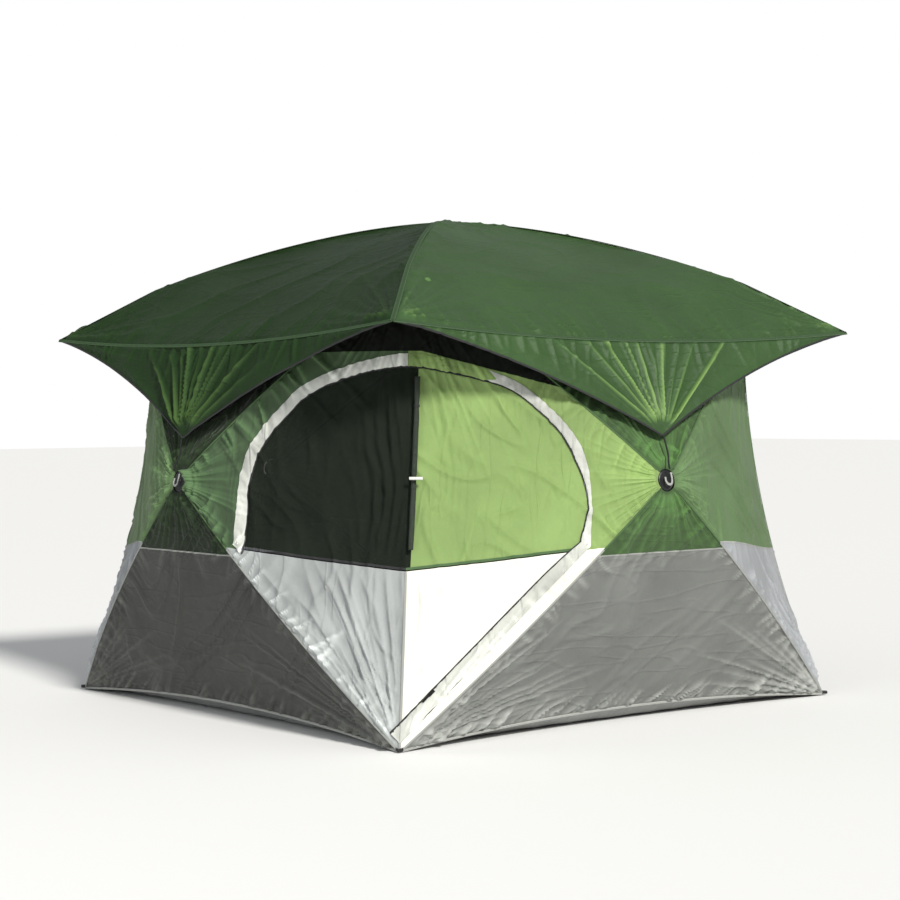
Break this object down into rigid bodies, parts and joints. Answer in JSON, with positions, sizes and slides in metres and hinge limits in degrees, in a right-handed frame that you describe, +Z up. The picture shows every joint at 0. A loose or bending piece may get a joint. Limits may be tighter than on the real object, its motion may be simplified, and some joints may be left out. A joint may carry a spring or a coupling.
{
  "type": "pop-up hub tent",
  "caption": "Square pop-up tent on bowed poles that spread from a sprung hub in each wall and the roof, with an arched corner door and a flysheet with tied flaps.",
  "frame": {"origin": "on the ground at the middle of the square floor", "axes": "+Z up; the walls face +X, -X, +Y and -Y; the door is in the corner at +X, -Y"},
  "size_m": [2.8786, 2.8786, 2.131],
  "materials": {
    "green_fabric": "matte coated polyester",
    "fly_fabric": "coated polyester with a slight sheen",
    "light_fabric": "matte coated polyester",
    "grey_fabric": "matte coated polyester",
    "mesh_fabric": "fine insect mesh",
    "band_fabric": "matte polyester with stitching",
    "floor_fabric": "coated groundsheet",
    "black_webbing": "woven webbing",
    "black_cord": "braided shock cord",
    "black_plastic": "moulded",
    "toggle_plastic": "moulded",
    "pole_fibreglass": "smooth wrapped glass fibre",
    "zip_metal": "painted die cast"
  },
  "bodies": {
    "tent_body": {"wall_east": "green_fabric", "wall_north": "green_fabric", "wall_west": "green_fabric", "wall_south": "green_fabric", "fly_tie_east": "black_cord", "fly_tie_north": "black_cord", "fly_tie_west": "black_cord", "fly_tie_south": "black_cord", "roof_panel": "mesh_fabric", "floor": "floor_fabric", "flysheet": "fly_fabric", "zip_band": "band_fabric", "door_lower_panel": "grey_fabric", "foot_pocket_southeast": "black_webbing", "crown_pocket_southeast": "black_webbing", "fly_batten_southeast": "pole_fibreglass", "foot_pocket_northeast": "black_webbing", "crown_pocket_northeast": "black_webbing", "fly_batten_northeast": "pole_fibreglass", "foot_pocket_northwest": "black_webbing", "crown_pocket_northwest": "black_webbing", "fly_batten_northwest": "pole_fibreglass", "foot_pocket_southwest": "black_webbing", "crown_pocket_southwest": "black_webbing", "fly_batten_southwest": "pole_fibreglass"},
    "hub_east": {"hub_east": "black_plastic", "hub_cap_east": "black_plastic"},
    "pole_east_lower_left": {"pole_east_lower_left": "pole_fibreglass"},
    "pole_east_lower_right": {"pole_east_lower_right": "pole_fibreglass"},
    "pole_east_upper_right": {"pole_east_upper_right": "pole_fibreglass"},
    "pole_east_upper_left": {"pole_east_upper_left": "pole_fibreglass"},
    "hub_north": {"hub_north": "black_plastic", "hub_cap_north": "black_plastic"},
    "pole_north_lower_left": {"pole_north_lower_left": "pole_fibreglass"},
    "pole_north_lower_right": {"pole_north_lower_right": "pole_fibreglass"},
    "pole_north_upper_right": {"pole_north_upper_right": "pole_fibreglass"},
    "pole_north_upper_left": {"pole_north_upper_left": "pole_fibreglass"},
    "hub_west": {"hub_west": "black_plastic", "hub_cap_west": "black_plastic"},
    "pole_west_lower_left": {"pole_west_lower_left": "pole_fibreglass"},
    "pole_west_lower_right": {"pole_west_lower_right": "pole_fibreglass"},
    "pole_west_upper_right": {"pole_west_upper_right": "pole_fibreglass"},
    "pole_west_upper_left": {"pole_west_upper_left": "pole_fibreglass"},
    "hub_south": {"hub_south": "black_plastic", "hub_cap_south": "black_plastic"},
    "pole_south_lower_left": {"pole_south_lower_left": "pole_fibreglass"},
    "pole_south_lower_right": {"pole_south_lower_right": "pole_fibreglass"},
    "pole_south_upper_right": {"pole_south_upper_right": "pole_fibreglass"},
    "pole_south_upper_left": {"pole_south_upper_left": "pole_fibreglass"},
    "hub_roof": {"hub_roof": "black_plastic", "hub_cap_roof": "black_plastic"},
    "pole_roof_southeast": {"pole_roof_southeast": "pole_fibreglass"},
    "pole_roof_northeast": {"pole_roof_northeast": "pole_fibreglass"},
    "pole_roof_northwest": {"pole_roof_northwest": "pole_fibreglass"},
    "pole_roof_southwest": {"pole_roof_southwest": "pole_fibreglass"},
    "door": {"door_upper_panel": "light_fabric", "door_mesh_window": "mesh_fabric", "window_cover_roll": "fly_fabric", "window_toggle": "toggle_plastic"},
    "zip_slider": {"zip_slider": "zip_metal"}
  },
  "joints": [
    {"name": "hub_east_pop", "type": "slide", "parent": "tent_body", "child": "hub_east", "axis": [-0.9911, 0, -0.1334], "range_m": [0, 0.6695]},
    {"name": "pole_east_lower_left_hinge", "type": "hinge", "parent": "hub_east", "child": "pole_east_lower_left", "pos_m": [1.39277, -0.02341, 0.9744], "axis": [-0.1041, -0.6255, 0.7732], "range_deg": [0, 26.6]},
    {"name": "pole_east_lower_right_hinge", "type": "hinge", "parent": "hub_east", "child": "pole_east_lower_right", "pos_m": [1.39277, 0.02341, 0.9744], "axis": [0.1041, -0.6255, -0.7732], "range_deg": [0, 26.6]},
    {"name": "pole_east_upper_right_hinge", "type": "hinge", "parent": "hub_east", "child": "pole_east_upper_right", "pos_m": [1.38755, 0.02203, 1.01318], "axis": [0.098, 0.6789, -0.7277], "range_deg": [0, 31.63]},
    {"name": "pole_east_upper_left_hinge", "type": "hinge", "parent": "hub_east", "child": "pole_east_upper_left", "pos_m": [1.38755, -0.02203, 1.01318], "axis": [-0.098, 0.6789, 0.7277], "range_deg": [0, 31.63]},
    {"name": "hub_north_pop", "type": "slide", "parent": "tent_body", "child": "hub_north", "axis": [0, -0.9911, -0.1334], "range_m": [0, 0.6695]},
    {"name": "pole_north_lower_left_hinge", "type": "hinge", "parent": "hub_north", "child": "pole_north_lower_left", "pos_m": [0.02341, 1.39277, 0.9744], "axis": [0.6255, -0.1041, 0.7732], "range_deg": [0, 26.6]},
    {"name": "pole_north_lower_right_hinge", "type": "hinge", "parent": "hub_north", "child": "pole_north_lower_right", "pos_m": [-0.02341, 1.39277, 0.9744], "axis": [0.6255, 0.1041, -0.7732], "range_deg": [0, 26.6]},
    {"name": "pole_north_upper_right_hinge", "type": "hinge", "parent": "hub_north", "child": "pole_north_upper_right", "pos_m": [-0.02203, 1.38755, 1.01318], "axis": [-0.6789, 0.098, -0.7277], "range_deg": [0, 31.63]},
    {"name": "pole_north_upper_left_hinge", "type": "hinge", "parent": "hub_north", "child": "pole_north_upper_left", "pos_m": [0.02203, 1.38755, 1.01318], "axis": [-0.6789, -0.098, 0.7277], "range_deg": [0, 31.63]},
    {"name": "hub_west_pop", "type": "slide", "parent": "tent_body", "child": "hub_west", "axis": [0.9911, 0, -0.1334], "range_m": [0, 0.6695]},
    {"name": "pole_west_lower_left_hinge", "type": "hinge", "parent": "hub_west", "child": "pole_west_lower_left", "pos_m": [-1.39277, 0.02341, 0.9744], "axis": [0.1041, 0.6255, 0.7732], "range_deg": [0, 26.6]},
    {"name": "pole_west_lower_right_hinge", "type": "hinge", "parent": "hub_west", "child": "pole_west_lower_right", "pos_m": [-1.39277, -0.02341, 0.9744], "axis": [-0.1041, 0.6255, -0.7732], "range_deg": [0, 26.6]},
    {"name": "pole_west_upper_right_hinge", "type": "hinge", "parent": "hub_west", "child": "pole_west_upper_right", "pos_m": [-1.38755, -0.02203, 1.01318], "axis": [-0.098, -0.6789, -0.7277], "range_deg": [0, 31.63]},
    {"name": "pole_west_upper_left_hinge", "type": "hinge", "parent": "hub_west", "child": "pole_west_upper_left", "pos_m": [-1.38755, 0.02203, 1.01318], "axis": [0.098, -0.6789, 0.7277], "range_deg": [0, 31.63]},
    {"name": "hub_south_pop", "type": "slide", "parent": "tent_body", "child": "hub_south", "axis": [0, 0.9911, -0.1334], "range_m": [0, 0.6695]},
    {"name": "pole_south_lower_left_hinge", "type": "hinge", "parent": "hub_south", "child": "pole_south_lower_left", "pos_m": [-0.02341, -1.39277, 0.9744], "axis": [-0.6255, 0.1041, 0.7732], "range_deg": [0, 26.6]},
    {"name": "pole_south_lower_right_hinge", "type": "hinge", "parent": "hub_south", "child": "pole_south_lower_right", "pos_m": [0.02341, -1.39277, 0.9744], "axis": [-0.6255, -0.1041, -0.7732], "range_deg": [0, 26.6]},
    {"name": "pole_south_upper_right_hinge", "type": "hinge", "parent": "hub_south", "child": "pole_south_upper_right", "pos_m": [0.02203, -1.38755, 1.01318], "axis": [0.6789, -0.098, -0.7277], "range_deg": [0, 31.63]},
    {"name": "pole_south_upper_left_hinge", "type": "hinge", "parent": "hub_south", "child": "pole_south_upper_left", "pos_m": [-0.02203, -1.38755, 1.01318], "axis": [0.6789, 0.098, 0.7277], "range_deg": [0, 31.63]},
    {"name": "hub_roof_pop", "type": "slide", "parent": "tent_body", "child": "hub_roof", "axis": [0, 0, -1], "range_m": [0, 0.5307]},
    {"name": "pole_roof_southeast_hinge", "type": "hinge", "parent": "hub_roof", "child": "pole_roof_southeast", "pos_m": [0.02121, -0.02121, 2.075], "axis": [-0.7071, -0.7071, 0], "range_deg": [0, 24.39]},
    {"name": "pole_roof_northeast_hinge", "type": "hinge", "parent": "hub_roof", "child": "pole_roof_northeast", "pos_m": [0.02121, 0.02121, 2.075], "axis": [0.7071, -0.7071, 0], "range_deg": [0, 24.39]},
    {"name": "pole_roof_northwest_hinge", "type": "hinge", "parent": "hub_roof", "child": "pole_roof_northwest", "pos_m": [-0.02121, 0.02121, 2.075], "axis": [0.7071, 0.7071, 0], "range_deg": [0, 24.39]},
    {"name": "pole_roof_southwest_hinge", "type": "hinge", "parent": "hub_roof", "child": "pole_roof_southwest", "pos_m": [-0.02121, -0.02121, 2.075], "axis": [-0.7071, 0.7071, 0], "range_deg": [0, 24.39]},
    {"name": "door_fold", "type": "hinge", "parent": "tent_body", "child": "door", "pos_m": [1.0409, -1.0409, 0.668], "axis": [0.7071, 0.7071, 0], "range_deg": [0, 100]},
    {"name": "zip_slider_run", "type": "slide", "parent": "tent_body", "child": "zip_slider", "axis": [0.1881, 0.7179, 0.6702], "range_m": [0, 0.4]}
  ],
  "couplings": [
    {"joint": "pole_east_lower_left_hinge", "follows": "hub_east_pop", "rad_per_m": 0.69214},
    {"joint": "pole_east_lower_right_hinge", "follows": "hub_east_pop", "rad_per_m": 0.69214},
    {"joint": "pole_east_upper_right_hinge", "follows": "hub_east_pop", "rad_per_m": 0.82318},
    {"joint": "pole_east_upper_left_hinge", "follows": "hub_east_pop", "rad_per_m": 0.82318},
    {"joint": "pole_north_lower_left_hinge", "follows": "hub_north_pop", "rad_per_m": 0.69214},
    {"joint": "pole_north_lower_right_hinge", "follows": "hub_north_pop", "rad_per_m": 0.69214},
    {"joint": "pole_north_upper_right_hinge", "follows": "hub_north_pop", "rad_per_m": 0.82318},
    {"joint": "pole_north_upper_left_hinge", "follows": "hub_north_pop", "rad_per_m": 0.82318},
    {"joint": "pole_west_lower_left_hinge", "follows": "hub_west_pop", "rad_per_m": 0.69214},
    {"joint": "pole_west_lower_right_hinge", "follows": "hub_west_pop", "rad_per_m": 0.69214},
    {"joint": "pole_west_upper_right_hinge", "follows": "hub_west_pop", "rad_per_m": 0.82318},
    {"joint": "pole_west_upper_left_hinge", "follows": "hub_west_pop", "rad_per_m": 0.82318},
    {"joint": "pole_south_lower_left_hinge", "follows": "hub_south_pop", "rad_per_m": 0.69214},
    {"joint": "pole_south_lower_right_hinge", "follows": "hub_south_pop", "rad_per_m": 0.69214},
    {"joint": "pole_south_upper_right_hinge", "follows": "hub_south_pop", "rad_per_m": 0.82318},
    {"joint": "pole_south_upper_left_hinge", "follows": "hub_south_pop", "rad_per_m": 0.82318},
    {"joint": "pole_roof_southeast_hinge", "follows": "hub_roof_pop", "rad_per_m": 0.80051},
    {"joint": "pole_roof_northeast_hinge", "follows": "hub_roof_pop", "rad_per_m": 0.80051},
    {"joint": "pole_roof_northwest_hinge", "follows": "hub_roof_pop", "rad_per_m": 0.80051},
    {"joint": "pole_roof_southwest_hinge", "follows": "hub_roof_pop", "rad_per_m": 0.80051}
  ]
}
